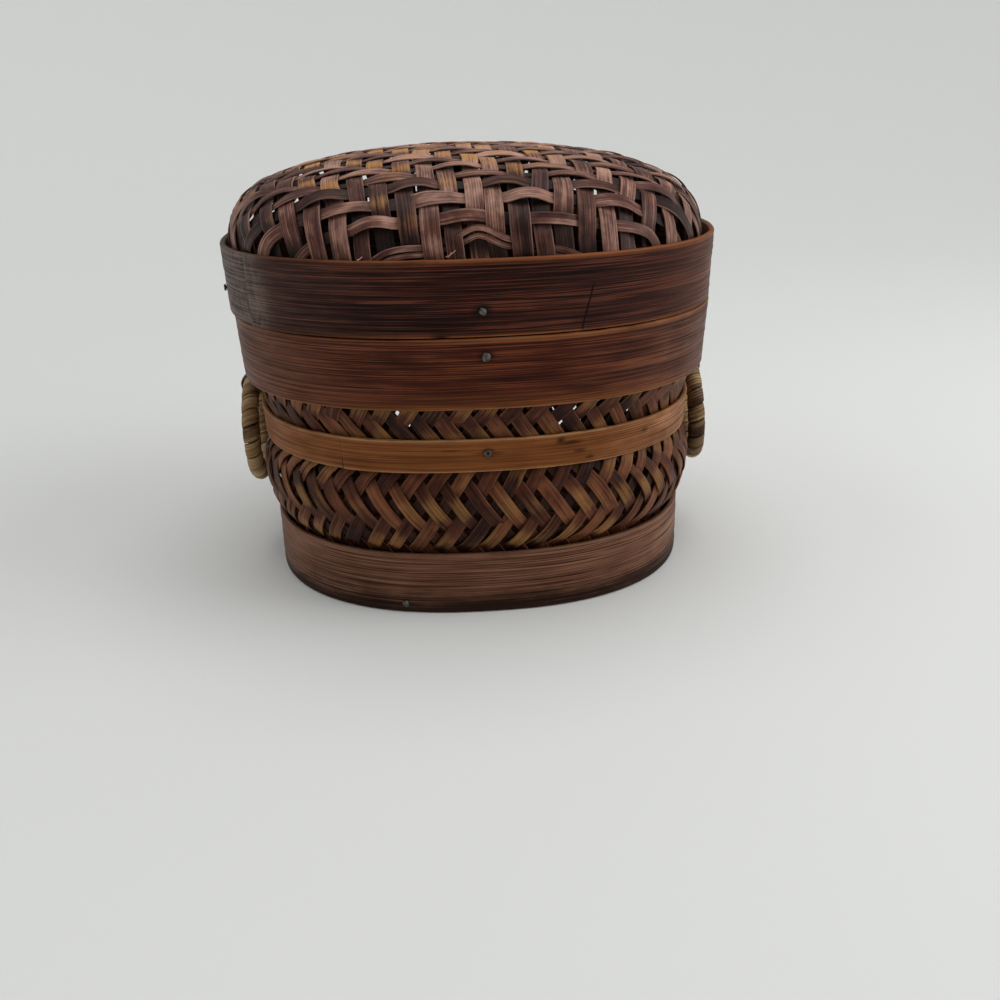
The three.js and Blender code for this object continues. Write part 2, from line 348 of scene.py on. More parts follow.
def splint_material(name, dark, mid, warm, gold, edge, rough=0.5, sheen=0.2, under_shade=0.72):
    """Old stained bamboo splint: fibres along the strip, a tone of its own, worn golden on the crowns,
    split here and there along the grain, its cut edges in their own colour (paler on the splints, near black on the
    cane as painted shade between its turns), darkened by painted shade where it dips under others."""
    k = Nodes(name)
    sv, tone, lift = k.attr("sv", True), k.attr("tone"), k.attr("lift")
    fine = k.noise(k.scaled(sv, (0.02, 1.6, 1.0)), 2.0, 0.6)
    hair = k.noise(k.scaled(sv, (0.05, 3.4, 1.0), (3, 5, 2)), 1.0, 0.5)
    band = k.noise(k.scaled(sv, (0.026, 0.8, 1.0), (7, 3, 1)), 1.0, 0.5)
    slow = k.noise(k.scaled(sv, (0.13, 0.22, 1.0), (2, 8, 4)), 3.0, 0.55)
    body = k.total(tone, (fine, 0.8, 0.5), (hair, 0.6, 0.5), (band, 0.3, 0.5), (slow, 0.95, 0.5))
    colour = k.ramp(body, [(0.02, dark), (0.40, mid), (0.74, warm), (1.0, shade(warm, 1.45))])
    crown = k.span(k.total(k.attr("worn"), (fine, 0.9, 0.5), (hair, 0.5, 0.5), (slow, 0.9, 0.5)), 0.08, 0.95)
    colour = k.mix(k.times(crown, k.span(k.attr("worn"), 0.0, 0.35)), colour, gold)
    rim = k.times(k.attr("rim"), k.span(band, 0.42, 0.62, 0.1, 0.7))
    colour = k.mix(rim, colour, edge)
    split = k.noise(k.scaled(sv, (0.012, 1.9, 1.0), (4, 1, 9)), 1.0, 0.4)
    colour = k.mix(k.span(split, 0.32, 0.27, 0.0, 0.5), colour, shade(dark, 0.4))
    # painted shade: darker where the strip dips under others
    colour = k.mix(k.span(lift, -1.0, 0.15, under_shade, 0.0), colour, (0.1, 0.075, 0.07), "MULTIPLY")
    k.link(colour, k.bsdf.inputs["Base Color"])
    k.link(k.span(fine, 0.25, 0.75, rough + 0.14, rough - 0.06), k.bsdf.inputs["Roughness"])
    k.bsdf.inputs["Specular IOR Level"].default_value = sheen
    k.bump(k.total(fine, (hair, 0.6, 0.5)), 0.3, 0.0003)
    return k.m


def hoop_material(name, dark, mid, line, edge, soil_and_sheen, marks=(), cracks=(), rough=0.4, lines=1.0, depth=1.0, glows=(), endless=False):
    """Split bamboo hoop: crisp streaks round it, cloudy stains, worn edges, a grey part that is partly dust and partly
    painted sheen on the sides, dark marks round the nails. Marks are (way along, height, reach along, reach up,
    strength), glows, which are painted light, the same with a colour;
    cracks are lines from one (way along, height) to another. An endless grain runs on over the lap."""
    k = Nodes(name)
    sv = k.attr("sv", True)
    sep = k.new("ShaderNodeSeparateXYZ")
    k.link(sv, sep.inputs[0])
    along, height = sep.outputs[0], sep.outputs[1]
    base = k.attr("rv", True) if endless else sv
    at = lambda a, b, *move: k.scaled(base, (a, a, b) if endless else (a, b, 1.0), move or (0, 0, 0))
    thin = k.noise(at(0.018, 2.5), 1.0, 0.5)
    mids = k.noise(at(0.012, 1.15, 5, 2, 0), 2.0, 0.6)
    wide = k.noise(at(0.0075, 0.2, 1, 9, 0), 2.0, 0.5, 0.1)
    cloud = k.noise(at(0.045, 0.13, 3, 4, 0), 4.0, 0.6, 0.2)
    spots = k.noise(at(0.6, 0.3, 2, 6, 0), 4.0, 0.7, 0.3)
    pores = k.noise(at(0.04, 3.6, 8, 5, 0), 1.0, 0.5)
    ground = k.total(0.45, (wide, 0.55, 0.5), (mids, 0.75 * depth, 0.5), (cloud, 0.6, 0.5), (thin, 1.8 * depth, 0.5), (pores, 1.6 * depth, 0.5))
    colour = k.ramp(ground, [(0.1, dark), (0.5, mid), (0.95, tuple(0.5 * a + 0.5 * b for a, b in zip(mid, line)))])
    streak = k.times(k.span(k.total(thin, (pores, 0.8, 0.5), (mids, 0.3, 0.5)), 0.55, 0.61), k.span(k.total(wide, (cloud, 0.8, 0.5)), 0.42, 0.62, 0.15, 0.9))
    colour = k.mix(k.times(streak, lines), colour, line)
    colour = k.mix(k.span(k.total(thin, (pores, 0.6, 0.5)), 0.42, 0.34, 0.0, 0.6 * depth), colour, shade(dark, 0.4))
    # painted light: patches lightened towards the glow colour
    for s, z, ds, dz, strength, tint in glows:
        a = k.math("MULTIPLY", k.math("SUBTRACT", along, s), 1 / ds)
        b = k.math("MULTIPLY", k.math("SUBTRACT", height, z), 1 / dz)
        d = k.math("SQRT", k.math("ADD", k.times(a, a), k.times(b, b)))
        near = k.span(k.total(d, (cloud, 0.6, 0.5), (thin, 1.4, 0.5), (pores, 0.8, 0.5)), 0.2, 1.0, strength, 0.0)
        colour = k.mix(near, colour, k.ramp(ground, [(0.15, shade(tint, 0.45)), (0.5, tint), (0.9, shade(tint, 1.35))]))
    # grey, mottled colour: partly dust, partly painted sheen on the hoop's sides
    soil_sheen_mask = k.math("MULTIPLY", k.attr("soil_and_sheen"), k.span(k.total(cloud, (thin, 0.6, 0.5)), 0.3, 0.62, 0.55, 1.0))
    colour = k.mix(soil_sheen_mask, colour, k.ramp(k.total(0.48, (cloud, 1.0, 0.5), (thin, 1.1, 0.5), (pores, 0.8, 0.5), (k.times(k.total(0.0, (spots, 1.5, 0.5)), k.attr("lapped")), 1.0, 0.0)), [(0.15, shade(soil_and_sheen, 0.26)), (0.55, soil_and_sheen), (0.95, shade(soil_and_sheen, 1.6))]))
    colour = k.mix(k.times(k.attr("edge"), k.span(cloud, 0.32, 0.58, 0.4, 1.0)), colour, edge)
    dirt_and_shadow = None
    for s, z, ds, dz, strength in marks:
        a = k.math("MULTIPLY", k.math("SUBTRACT", along, s), 1 / ds)
        b = k.math("MULTIPLY", k.math("SUBTRACT", height, z), 1 / dz)
        d = k.math("SQRT", k.math("ADD", k.times(a, a), k.times(b, b)))
        near = k.span(k.total(d, (cloud, 1.2, 0.5), (thin, 0.8, 0.5)), 0.25, 1.0, strength, 0.0)
        dirt_and_shadow = near if dirt_and_shadow is None else k.math("MAXIMUM", dirt_and_shadow, near)
    for (s1, z1), (s2, z2), half in cracks:
        lean = (s2 - s1) / (z2 - z1)
        off = k.math("SUBTRACT", along, k.total(s1, (height, lean, z1)))
        gap = k.span(k.math("ABSOLUTE", k.total(off, (cloud, 1.6, 0.5))), half * 0.5, half, 0.9, 0.0)
        inside = k.times(k.span(height, min(z1, z2), min(z1, z2) + 0.5), k.span(height, max(z1, z2) - 2.0, max(z1, z2), 1.0, 0.0))
        near = k.times(gap, inside)
        dirt_and_shadow = near if dirt_and_shadow is None else k.math("MAXIMUM", dirt_and_shadow, near)
    # dark marks and cracks; a mark can also be painted shadow, as on the foot
    if dirt_and_shadow is not None:
        colour = k.mix(dirt_and_shadow, colour, shade(dark, 0.2))
    k.link(colour, k.bsdf.inputs["Base Color"])
    k.link(k.span(ground, 0.2, 0.8, rough + 0.12, rough - 0.06), k.bsdf.inputs["Roughness"])
    k.bsdf.inputs["Specular IOR Level"].default_value = 0.09
    k.bump(k.total(thin, (mids, 0.6, 0.5)), 0.3, 0.0003)
    return k.m


def steel_material():
    k = Nodes("old_steel")
    where = k.new("ShaderNodeTexCoord").outputs["Object"]
    n = k.noise(where, 4.0, 0.6, 0.0, 900.0)
    grey = k.ramp(n, [(0.32, srgb(34, 29, 26)), (0.5, srgb(84, 81, 77)), (0.72, srgb(140, 139, 135))])
    k.link(k.mix(k.attr("pit"), grey, srgb(18, 13, 11)), k.bsdf.inputs["Base Color"])
    k.bsdf.inputs["Metallic"].default_value = 0.6
    k.link(k.span(n, 0.3, 0.7, 0.66, 0.42), k.bsdf.inputs["Roughness"])
    k.bump(n, 0.4, 0.0002)
    return k.m


# Camera at the photograph's angle
cam_data = bpy.data.cameras.new("camera")
cam = bpy.data.objects.new("camera", cam_data)
bpy.context.scene.collection.objects.link(cam)
cam_data.sensor_width = 36.0
cam_data.lens = 37.535
cam_data.clip_start, cam_data.clip_end = 0.01, 20.0
cx, cy, cz = (0.996424, -0.081121, -0.023645), (0.051907, 0.366840, 0.928835), (-0.066674, -0.926741, 0.369739)
cam.matrix_world = Matrix(((cx[0], cy[0], cz[0], -0.017380), (cx[1], cy[1], cz[1], -0.352344),
                           (cx[2], cy[2], cz[2], 0.151597), (0, 0, 0, 1)))
bpy.context.scene.camera = cam


# ---------------------------------------------------------------- lid plaiting
def dome_z(rho):
    rho = np.clip(rho, 0, 1)
    return DOME["z0"] + DOME["h"] * (1 - rho ** DOME["p"]) ** (1 / DOME["q"])


def dome_point(x, y):
    z = dome_z(plan_radius(x, y) / DOME["r"])
    # the upper part of the dome leans a little to the left
    return np.stack([x - DOME["lean"] * ease(z, 102.0, 118.0), y, z], -1)


def half_profile(along_x):
    """Arc length from the middle against plan distance, along one middle line of the dome."""
    top = DOME["r"] * (1.0 if along_x else DEPTH)
    d = top * np.sin(np.linspace(0, math.pi / 2, 6001))
    z = dome_z(d / top)
    return np.concatenate([[0], np.cumsum(np.hypot(np.diff(d), np.diff(z)))]), d


ARC_X, DIST_X = half_profile(True)
ARC_Y, DIST_Y = half_profile(False)
to_x = lambda s: np.sign(s) * np.interp(np.abs(s), ARC_X, DIST_X)
to_s = lambda x: np.sign(x) * np.interp(np.abs(x), DIST_X, ARC_X)
to_y = lambda s: np.sign(s) * np.interp(np.abs(s), ARC_Y, DIST_Y)
to_t = lambda y: np.sign(y) * np.interp(np.abs(y), DIST_Y, ARC_Y)
PITCH_WARP = 6.6  # strips along Y
PITCH_WEFT, SPREAD = 5.6, 0.13  # strips along X, further apart towards the hoop


def row_place(i):
    return np.sign(i) * (PITCH_WEFT * abs(i) + SPREAD / 2 * i * i)


def row_at(t):
    return np.sign(t) * (-PITCH_WEFT + np.sqrt(PITCH_WEFT ** 2 + 2 * SPREAD * np.abs(t))) / SPREAD


BEND = 0.85  # how far the outer side-to-side strips follow the outline


def drawn(y):
    """The front-to-back strips draw together a little towards the front and the back."""
    return 1 - 0.085 * ease(np.abs(y), 34, 70)


def painted_shading(x, y):
    """Painted shade and light: how much darker the strips are towards the hoop and to either side, and paler on top."""
    away = plan_radius(x, y) / DOME["r"]
    return 0.13 * ease(away, 0.7, 0.95) + 0.05 * ease(np.abs(x), 20, 60) + 0.05 * ease(x, 20, 60) - 0.19 * ease(away, 0.75, 0.35)



def outline_share(v, full):
    """Share of the plan's half-size that is left across at this distance from the middle."""
    return np.maximum(0, 1 - np.minimum(np.abs(v) / full, 1) ** ROUND) ** (1 / ROUND)


def bent(y, x):
    """Where a side-to-side strip that crosses the middle line at y lies at x."""
    far = np.clip(np.abs(y) / (DOME["r"] * DEPTH), 0, 1) ** 1.5
    return y * (1 - BEND * far * (1 - outline_share(x, DOME["r"])))


def unbent(y, x):
    full, v = DOME["r"] * DEPTH, y
    for _ in range(6):
        far = np.clip(np.abs(v) / full, 0, 1) ** 1.5
        v = np.clip(y / (1 - BEND * far * (1 - outline_share(x, DOME["r"]))), -full, full)
    return v


def twill(u):
    """Over two, under two: 1 while u mod 4 is from 0 to 1, -1 from 2 to 3."""
    return np.clip(1.5 * np.cos(math.pi / 2 * (u - 0.5)), -1, 1)


def float_arch(u):
    return np.clip(np.cos(math.pi / 2 * (u - 0.5)), 0, 1) ** 1.3


def float_number(u):
    return np.floor((u + 1.5) / 4).astype(int)


def dome_run(place_at, along_y, shift):
    """Path and normals of one strip over the dome, down to inside the hoop. It runs along Y or X, this far
    from the middle measured over the dome; shift gives its sideways wander against the way along it."""
    spread = to_x if along_y else to_y
    fixed = float(spread(np.array(place_at)))
    r, top = DOME["r"], DOME["r"] * (DEPTH if along_y else 1.0)
    other = DOME["r"] * (1.0 if along_y else DEPTH)
    if abs(fixed) > other * 0.993:  # would lie behind the hoop
        return None
    lie = (lambda v, g: v * drawn(g)) if along_y else bent
    far = np.linspace(0, top, 4001)
    inside = np.abs(lie(fixed, far)) < other * outline_share(far, top)
    reach = far[inside][-1] if inside.any() else 0.0
    if reach < 9:
        return None
    g = reach * np.sin(np.linspace(-math.pi / 2, math.pi / 2, 1601)) * 0.9999
    f = lie(fixed, g)
    P = dome_point(*((f, g) if along_y else (g, f)))
    run = np.concatenate([[0], np.cumsum(np.linalg.norm(np.diff(P, axis=0), axis=1))])
    n = max(24, int(run[-1] / 1.05))
    g = np.interp(np.linspace(0, run[-1], n), run, g)
    f = np.clip(lie(spread(place_at + shift(g)), g), -other * 0.985, other * 0.985)
    room = top * outline_share(f, other) * 0.9995
    g = np.clip(g, -room, room)
    x, y = (f, g) if along_y else (g, f)
    P = dome_point(x, y)
    e = 0.05
    q = lambda a, b: dome_point(np.clip(a, -r, r), np.clip(b, -r * DEPTH, r * DEPTH))
    N = np.cross(q(x + e, y) - q(x - e, y), q(x, y + e) - q(x, y - e))
    N /= np.linalg.norm(N, axis=1)[:, None] + 1e-12
    # short ends running straight down behind the hoop
    k = 4
    for at, i in ((0, 0), (n, -1)):
        away = plan_radius(P[i, 0], P[i, 1])
        down = np.linspace(4.6, 1.0, k) if at == 0 else np.linspace(1.0, 4.6, k)
        tail = np.repeat(P[i][None], k, 0)
        tail[:, :2] *= min(1.0, (DOME["r"] - 0.2) / away)
        tail[:, 2] = P[i, 2] - down
        out = np.array([P[i, 0], P[i, 1] / DEPTH, 0.0])
        out /= np.linalg.norm(out)
        P = np.concatenate([tail, P] if at == 0 else [P, tail])
        N = np.concatenate([np.repeat(out[None], k, 0), N] if at == 0 else [N, np.repeat(out[None], k, 0)])
    x = np.r_[np.full(k, x[0]), x, np.full(k, x[-1])]
    y = np.r_[np.full(k, y[0]), y, np.full(k, y[-1])]
    return P, N, x, y


def ends_flat(n, k=7):
    """0 at both ends of a strip, 1 along it: strips lie flat where they are caught behind the hoop."""
    i = np.minimum(np.arange(n), np.arange(n)[::-1])
    return np.clip((i - 3) / k, 0, 1)


rng = np.random.default_rng(11)
lid_warp, lid_weft = Strips(), Strips()
for j in range(-14, 15):
    slack, shine = rng.random(40), rng.random(40)
    wander, offset, width, tone = rng.normal(0, 1, 15), rng.normal(0, 0.2), rng.normal(2.34, 0.14), rng.normal(0.53, 0.17)
    place_x = j * PITCH_WARP
    if abs(place_x) >= ARC_X[-1]:
        continue
    knots = np.linspace(-80, 80, 15)
    made = dome_run(place_x, True, lambda g: offset + 0.26 * np.interp(g, knots, wander))
    if made is None:
        continue
    P, N, x, y = made
    n = len(P)
    u = j - row_at(-to_t(unbent(y, x))) + 2  # rows count towards the front
    over = twill(u)
    flat = ends_flat(n)
    m = float_number(u) % 40
    arch = float_arch(u)
    steep = ease(np.abs(to_t(y)), 38, 70)
    P = P + N * ((over * 0.36 + arch * (0.16 + 0.35 * slack[m] * steep) - 0.35 * steep * (over < 0)) * flat)[:, None]
    # golden at the upper part of some crowns, mostly round the middle of the dome
    crown = np.clip(np.cos(math.pi / 2.2 * (u - 0.8)), 0, 1) ** 1.1 * np.clip(over, 0, 1)
    worn = crown * np.where(shine[m] > 0.22, 0.38 + 0.8 * (shine[m] - 0.22) / 0.78, 0.0)
    worn *= 1 - 0.9 * ease(np.hypot((x + 14) / 66, (y + 16) / 58), 0.5, 1.0)
    # the tone takes painted shade towards the hoop and sides, and painted light on top
    lid_warp.add(P + (LID_SHIFT, 0, 0), N, width + 0.14 * steep + smooth_noise(rng, n, 22, 0.09), 0.5, 0.07, np.clip(tone, 0.16, 0.72) + smooth_noise(rng, n, 12, 0.05) - painted_shading(x, y),
                 over * flat, j + 40, worn, smooth_noise(rng, n, 16, 0.05) * flat)
for i in range(-17, 18):
    slack, shine = rng.random(40) ** 1.4, rng.random(40)
    wander, offset, width, tone = rng.normal(0, 1, 15), rng.normal(0, 0.35), rng.normal(1.95, 0.2), rng.normal(0.52, 0.17)
    part_row = (rng.random() < 0.1 and i < 6) or i == 12  # strips that have split along their grain
    place_y = -float(row_place(i))
    if abs(place_y) >= ARC_Y[-1]:
        continue
    knots = np.linspace(-85, 85, 15)
    front = float(ease(abs(place_y), 34, 66))
    # two strips in front have worked loose near the middle and stand up in an arch
    loop = {12: 3.2, 11: 0.8}.get(i, 0.0)
    stand = lambda g: np.exp(-(((g - 0.5) / 6.5) ** 2))

    def shift(g):
        u = to_s(g / drawn(bent(to_y(place_y), g))) / PITCH_WARP - i
        sag = slack[float_number(u) % 40] ** 2 * float_arch(u) * (0.2 + 0.5 * front)
        return offset + 0.4 * np.interp(g, knots, wander) - np.sign(place_y) * (sag + loop * stand(g))

    made = dome_run(place_y, False, shift)
    if made is None:
        continue
    P, N, x, y = made
    n = len(P)
    u = to_s(x / drawn(y)) / PITCH_WARP - i
    over = twill(u)
    flat = ends_flat(n)
    m = float_number(u) % 40
    loose = np.maximum(front, 0.7 * ease(np.abs(x), 34, 62))
    arch = float_arch(u) * (0.25 + (0.2 + 0.9 * loose) * slack[m])
    P = P + N * ((over * 0.36 + arch + 0.2 * loop * stand(x)) * flat)[:, None] + (LID_SHIFT, 0, 0)
    worn = np.clip(np.cos(math.pi / 2 * (u - 0.5)), 0, 1) * np.where(shine[m] > 0.5, 0.7 * (shine[m] - 0.3), 0.0) * np.clip(over, 0, 1)
    worn *= 1 - 0.7 * ease(np.hypot((x + 12) / 66, (y + 8) / 60), 0.5, 1.0)
    # the tone takes painted shade towards the hoop and sides, and painted light on top
    tones = np.clip(tone, 0.14, 0.7) + smooth_noise(rng, n, 10, 0.06) - painted_shading(x, y)
    roll = smooth_noise(rng, n, 12, 0.09) * flat
    if part_row:
        T = np.gradient(P, axis=0)
        W = np.cross(N, T)
        W /= np.linalg.norm(W, axis=1)[:, None]
        part = 0.15 + 0.7 * np.abs(smooth_noise(rng, n, 20, 0.6)) * flat
        lid_weft.add(P + W * (width * 0.46 + part * 0.5)[:, None], N, width * 0.5, 0.45, 0.05, tones, over * flat, i + 90, worn, roll)
        lid_weft.add(P - W * (width * 0.52 + part * 0.5)[:, None], N, width * 0.42, 0.45, 0.05, tones - 0.06, over * flat, i + 95, worn, -roll)
    else:
        lid_weft.add(P, N, width + smooth_noise(rng, n, 20, 0.12), 0.45, 0.05, tones, over * flat, i + 90, worn, roll)

# frayed fibres standing out over the hoop in front
for k, (x0, x1, z0, z1) in enumerate([(-9.9, -7.3, 109.5, 111.2), (-9.4, -8.4, 109.4, 110.7), (-33.4, -31.9, 109.5, 110.4)]):
    t = np.linspace(0, 1, 9)
    P = np.stack([x0 + (x1 - x0) * t, -70.6 - 0.7 * t, z0 + (z1 - z0) * t ** 1.6], -1)
    lid_weft.add(P, np.repeat([[0.0, -1.0, 0.0]], 9, 0), 0.15 - 0.07 * t, 0.15, 0.0, 1.1, 1.0, 120 + k)

LID_SPLINT = splint_material("lid_splint", srgb(36, 14, 11), srgb(97, 60, 51), srgb(178, 135, 117), srgb(194, 136, 72), srgb(172, 132, 114), 0.42, 0.17, 0.93)
lid_warp.make("lid_splints_front_to_back", LID_SPLINT, "lid", ("lid_weave",), "plaited_lid")
lid_weft.make("lid_splints_side_to_side", LID_SPLINT, "lid", (), "plaited_lid")


# --------------------------------------------------------------- body plaiting
def rounded(points, times=4):
    p = np.array(points, float)
    for _ in range(times):
        a = 0.75 * p[:-1] + 0.25 * p[1:]
        b = 0.25 * p[:-1] + 0.75 * p[1:]
        p = np.concatenate([p[:1], np.stack([a, b], 1).reshape(-1, 2), p[-1:]])
    return p


wall = rounded(BODY_OUT)
d = np.gradient(wall, axis=0)
d /= np.linalg.norm(d, axis=1)[:, None]
wall = wall + 0.75 * np.stack([d[:, 1], -d[:, 0]], -1)  # middle of the plaiting's thickness
wall[:, 0] = np.maximum(wall[:, 0], 0)
wall_run = np.concatenate([[0], np.cumsum(np.linalg.norm(np.diff(wall, axis=0), axis=1))])
deepest = wall[:, 1].argmin() + 1
MID = np.interp(-33.0, -wall[:deepest, 1], wall_run[:deepest])
ROW = 5.55  # height between crossings, along the wall
COUNT = 60  # strips leaning each way round the box


def wall_point(eta, lam):
    """Row number eta (0 at the belly, up is more) and strip number lam round the box."""
    s = MID - eta * ROW
    r = np.interp(s, wall_run, wall[:, 0])
    z = np.interp(s, wall_run, wall[:, 1])
    p = plan_at(lam / COUNT)
    return np.concatenate([p * r[..., None], z[..., None]], -1)


def wall_normal(eta, lam):
    e = 0.02
    u = wall_point(eta, lam + e) - wall_point(eta, lam - e)
    w = wall_point(eta + e, lam) - wall_point(eta - e, lam)
    n = np.cross(u, w)
    return n / (np.linalg.norm(n, axis=-1)[..., None] + 1e-12)


top_eta = MID / ROW - 0.05
low_eta = (MID - np.interp(-62.0, -wall[:, 0], wall_run)) / ROW
rng = np.random.default_rng(23)
body_left, body_right = Strips(), Strips()
for family, strips in ((0, body_left), (1, body_right)):
    for i in range(COUNT):
        n = 84
        slack, shine = rng.random(20), rng.random(20)
        eta = np.linspace(low_eta, top_eta, n)
        lean = -0.5 if family == 0 else 0.5
        lam = i + lean * eta + smooth_noise(rng, n, 16, 0.03) + 0.045 * rng.normal()
        u = eta if family == 0 else eta + 2
        over = twill(u)
        m = float_number(u) % 20
        arch = float_arch(u)
        N = wall_normal(eta, lam)
        z = np.interp(MID - eta * ROW, wall_run, wall[:, 1])
        P = wall_point(eta, lam)
        # the plaiting lies flat against the hoops' inner faces, and where a ring hangs on it
        free = ease(z, 70.0, 62.0)
        loose = free * (1 - ease(np.abs(P[:, 1]), 24.0, 19.0) * ease(z, 52.0, 48.0))
        P = P + N * (over * (0.26 + 0.1 * free) + arch * loose * (0.14 + 0.5 * slack[m]))[:, None]
        # painted shade: darker close under the rim, just above the waist hoop, and above the foot
        tone = float(np.clip(rng.normal(0.43, 0.14), 0.16, 0.74)) + smooth_noise(rng, n, 9, 0.06)
        tone = tone - 0.1 * (1 - free) - 0.24 * ease(z, 27.0, 21.0) - 0.06 * ease(z, 55.0, 59.0)
        half = np.clip(rng.normal(2.02, 0.17), 1.65, 2.3) + smooth_noise(rng, n, 18, 0.08) + 0.2 * ease(z, 50.0, 60.0)
        worn = np.clip(np.cos(math.pi / 2 * (u - 0.35)), 0, 1) ** 1.3 * np.clip(over, 0, 1) * np.where(shine[m] > 0.25, 0.15 + 0.55 * (shine[m] - 0.25), 0.0)
        roll = smooth_noise(rng, n, 14, 0.06)
        seed = i + 140 + 70 * family
        if rng.random() < 0.13:  # split along the grain
            T = np.gradient(P, axis=0)
            W = np.cross(N, T)
            W /= np.linalg.norm(W, axis=1)[:, None]
            part = (0.06 + 0.35 * np.abs(smooth_noise(rng, n, 14, 0.6)))[:, None]
            strips.add(P + W * (1.02 + part), N, half * 0.48, 0.48, 0.04, tone, over, seed, worn, roll)
            strips.add(P - W * (1.08 + part * 0.3), N, half * 0.46, 0.48, 0.05, tone - 0.05, over, seed + 3, worn, -roll)
        else:
            strips.add(P, N, half, 0.5, 0.08, tone, over, seed, worn, roll)

# base, plaited on the bias
flat_part = wall[wall[:, 1] < 16.0]
order = np.argsort(flat_part[:, 0])
BASE_R, BASE_Z = flat_part[order, 0], flat_part[order, 1]
base_z = lambda x, y: np.interp(plan_radius(x, y), BASE_R, BASE_Z)
for family, strips in ((0, body_left), (1, body_right)):
    for k in range(-11, 12):
        g = np.linspace(-80, 80, 81)
        f = np.full_like(g, k * 6.0) + smooth_noise(rng, len(g), 18, 0.12)
        c = math.sqrt(0.5)
        x, y = ((g + f) * c, (g - f) * c) if family == 0 else ((g + f) * c, (f - g) * c)
        keep = plan_radius(x, y) < 62.5
        if keep.sum() < 10:
            continue
        g, x, y = g[keep], x[keep], y[keep]
        e = 0.2
        N = np.stack([-(base_z(x + e, y) - base_z(x - e, y)) / (2 * e), -(base_z(x, y + e) - base_z(x, y - e)) / (2 * e), np.ones_like(x)], -1)
        N /= np.linalg.norm(N, axis=1)[:, None]
        u = g / 6.0 - k if family == 0 else k - g / 6.0
        over = twill(u) if family == 0 else -twill(u)
        P = np.stack([x, y, base_z(x, y)], -1) + N * (over * 0.33)[:, None]
        tone = float(np.clip(rng.normal(0.45, 0.1), 0.15, 0.75))
        strips.add(P, N, 2.35 + 0.1 * rng.normal(), 0.5, 0.06, tone, over, k + 300 + 40 * family, 0.1)

BODY_SPLINT = splint_material("body_splint", srgb(33, 11, 5), srgb(75, 38, 23), srgb(115, 69, 43), srgb(146, 104, 58), srgb(134, 92, 61), 0.45, 0.13)
body_left.make("body_splints_leaning_left", BODY_SPLINT, "basket", ("body_weave",), "plaited_body")
body_right.make("body_splints_leaning_right", BODY_SPLINT, "basket", (), "plaited_body")


# ----------------------------------------------------------------------- hoops
OVER = 0.05  # share of the round by which a hoop's ends lap


def way_along(h, lap, share):
    """How far along its strip, in mm, a hoop's point at this share lies."""
    return ((lap + OVER - share) % 1.0) * ROUND_LEN * (h["r0"] + h["r1"]) / 2


